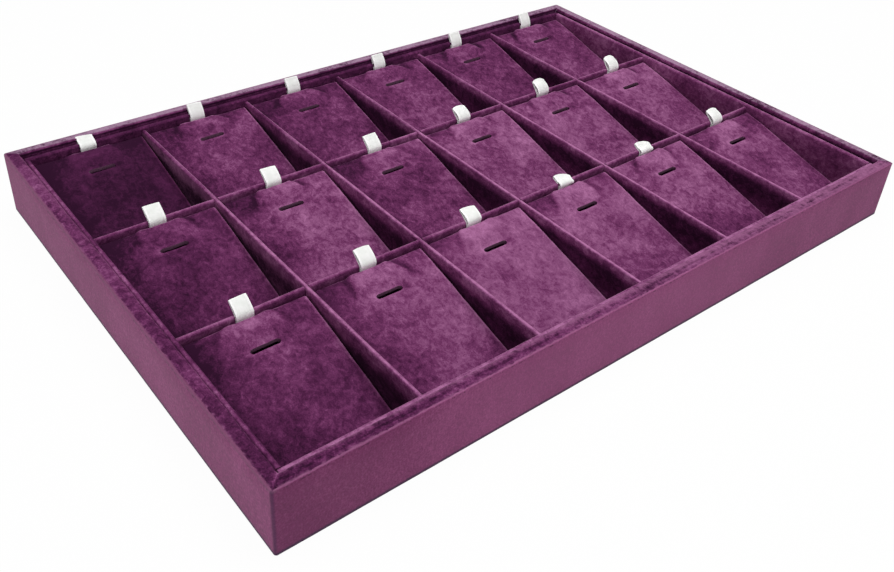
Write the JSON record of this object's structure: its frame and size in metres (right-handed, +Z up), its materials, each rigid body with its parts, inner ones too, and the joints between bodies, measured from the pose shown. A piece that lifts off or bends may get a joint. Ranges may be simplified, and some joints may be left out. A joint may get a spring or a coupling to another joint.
{
  "type": "jewelry tray",
  "caption": "Shallow leatherette display tray with a velvet-lined rim, an egg-crate insert and loose sloped velvet pads that lift out by ribbon tabs, for pendants and charms.",
  "frame": {"origin": "on the table, under the middle of the tray", "axes": "+X along the tray's long side to the right, +Y towards the rear row, +Z up"},
  "size_m": [0.35, 0.24, 0.033],
  "materials": {
    "leatherette": "fine-grained plum leatherette with a soft sheen",
    "base_paper": "dark flocked paper",
    "board": "raw fibreboard",
    "rim_velvet": "short-pile plum velvet, brushed in patches",
    "insert_velvet": "short-pile plum velvet over thin board",
    "pad_velvet": "short-pile plum velvet over a thin padded board, brushed in patches",
    "ribbon_satin": "white woven ribbon"
  },
  "bodies": {
    "tray": {"leather_wrap": "leatherette", "base_cover": "base_paper", "base_board": "board", "wall_front": "board", "wall_rear": "board", "wall_left": "board", "wall_right": "board", "rim_lining_front": "rim_velvet", "rim_lining_right": "rim_velvet", "rim_lining_rear": "rim_velvet", "rim_lining_left": "rim_velvet", "insert_floor": "insert_velvet", "insert_front": "insert_velvet", "insert_rear": "insert_velvet", "insert_left": "insert_velvet", "insert_right": "insert_velvet", "column_divider_1": "insert_velvet", "column_divider_2": "insert_velvet", "column_divider_3": "insert_velvet", "column_divider_4": "insert_velvet", "column_divider_5": "insert_velvet", "row_divider_1": "insert_velvet", "row_divider_2": "insert_velvet"},
    "pad_unit_a1": {"pad_a1": "pad_velvet", "ribbon_a1": "ribbon_satin"},
    "pad_unit_a2": {"pad_a2": "pad_velvet", "ribbon_a2": "ribbon_satin"},
    "pad_unit_a3": {"pad_a3": "pad_velvet", "ribbon_a3": "ribbon_satin"},
    "pad_unit_a4": {"pad_a4": "pad_velvet", "ribbon_a4": "ribbon_satin"},
    "pad_unit_a5": {"pad_a5": "pad_velvet", "ribbon_a5": "ribbon_satin"},
    "pad_unit_a6": {"pad_a6": "pad_velvet", "ribbon_a6": "ribbon_satin"},
    "pad_unit_b1": {"pad_b1": "pad_velvet", "ribbon_b1": "ribbon_satin"},
    "pad_unit_b2": {"pad_b2": "pad_velvet", "ribbon_b2": "ribbon_satin"},
    "pad_unit_b3": {"pad_b3": "pad_velvet", "ribbon_b3": "ribbon_satin"},
    "pad_unit_b4": {"pad_b4": "pad_velvet", "ribbon_b4": "ribbon_satin"},
    "pad_unit_b5": {"pad_b5": "pad_velvet", "ribbon_b5": "ribbon_satin"},
    "pad_unit_b6": {"pad_b6": "pad_velvet", "ribbon_b6": "ribbon_satin"},
    "pad_unit_c1": {"pad_c1": "pad_velvet", "ribbon_c1": "ribbon_satin"},
    "pad_unit_c2": {"pad_c2": "pad_velvet", "ribbon_c2": "ribbon_satin"},
    "pad_unit_c3": {"pad_c3": "pad_velvet", "ribbon_c3": "ribbon_satin"},
    "pad_unit_c4": {"pad_c4": "pad_velvet", "ribbon_c4": "ribbon_satin"},
    "pad_unit_c5": {"pad_c5": "pad_velvet", "ribbon_c5": "ribbon_satin"},
    "pad_unit_c6": {"pad_c6": "pad_velvet", "ribbon_c6": "ribbon_satin"}
  },
  "joints": [
    {"name": "lift_a1", "type": "slide", "parent": "tray", "child": "pad_unit_a1", "axis": [0, 0, 1], "range_m": [0, 0.045]},
    {"name": "lift_a2", "type": "slide", "parent": "tray", "child": "pad_unit_a2", "axis": [0, 0, 1], "range_m": [0, 0.045]},
    {"name": "lift_a3", "type": "slide", "parent": "tray", "child": "pad_unit_a3", "axis": [0, 0, 1], "range_m": [0, 0.045]},
    {"name": "lift_a4", "type": "slide", "parent": "tray", "child": "pad_unit_a4", "axis": [0, 0, 1], "range_m": [0, 0.045]},
    {"name": "lift_a5", "type": "slide", "parent": "tray", "child": "pad_unit_a5", "axis": [0, 0, 1], "range_m": [0, 0.045]},
    {"name": "lift_a6", "type": "slide", "parent": "tray", "child": "pad_unit_a6", "axis": [0, 0, 1], "range_m": [0, 0.045]},
    {"name": "lift_b1", "type": "slide", "parent": "tray", "child": "pad_unit_b1", "axis": [0, 0, 1], "range_m": [0, 0.045]},
    {"name": "lift_b2", "type": "slide", "parent": "tray", "child": "pad_unit_b2", "axis": [0, 0, 1], "range_m": [0, 0.045]},
    {"name": "lift_b3", "type": "slide", "parent": "tray", "child": "pad_unit_b3", "axis": [0, 0, 1], "range_m": [0, 0.045]},
    {"name": "lift_b4", "type": "slide", "parent": "tray", "child": "pad_unit_b4", "axis": [0, 0, 1], "range_m": [0, 0.045]},
    {"name": "lift_b5", "type": "slide", "parent": "tray", "child": "pad_unit_b5", "axis": [0, 0, 1], "range_m": [0, 0.045]},
    {"name": "lift_b6", "type": "slide", "parent": "tray", "child": "pad_unit_b6", "axis": [0, 0, 1], "range_m": [0, 0.045]},
    {"name": "lift_c1", "type": "slide", "parent": "tray", "child": "pad_unit_c1", "axis": [0, 0, 1], "range_m": [0, 0.045]},
    {"name": "lift_c2", "type": "slide", "parent": "tray", "child": "pad_unit_c2", "axis": [0, 0, 1], "range_m": [0, 0.045]},
    {"name": "lift_c3", "type": "slide", "parent": "tray", "child": "pad_unit_c3", "axis": [0, 0, 1], "range_m": [0, 0.045]},
    {"name": "lift_c4", "type": "slide", "parent": "tray", "child": "pad_unit_c4", "axis": [0, 0, 1], "range_m": [0, 0.045]},
    {"name": "lift_c5", "type": "slide", "parent": "tray", "child": "pad_unit_c5", "axis": [0, 0, 1], "range_m": [0, 0.045]},
    {"name": "lift_c6", "type": "slide", "parent": "tray", "child": "pad_unit_c6", "axis": [0, 0, 1], "range_m": [0, 0.045]}
  ]
}
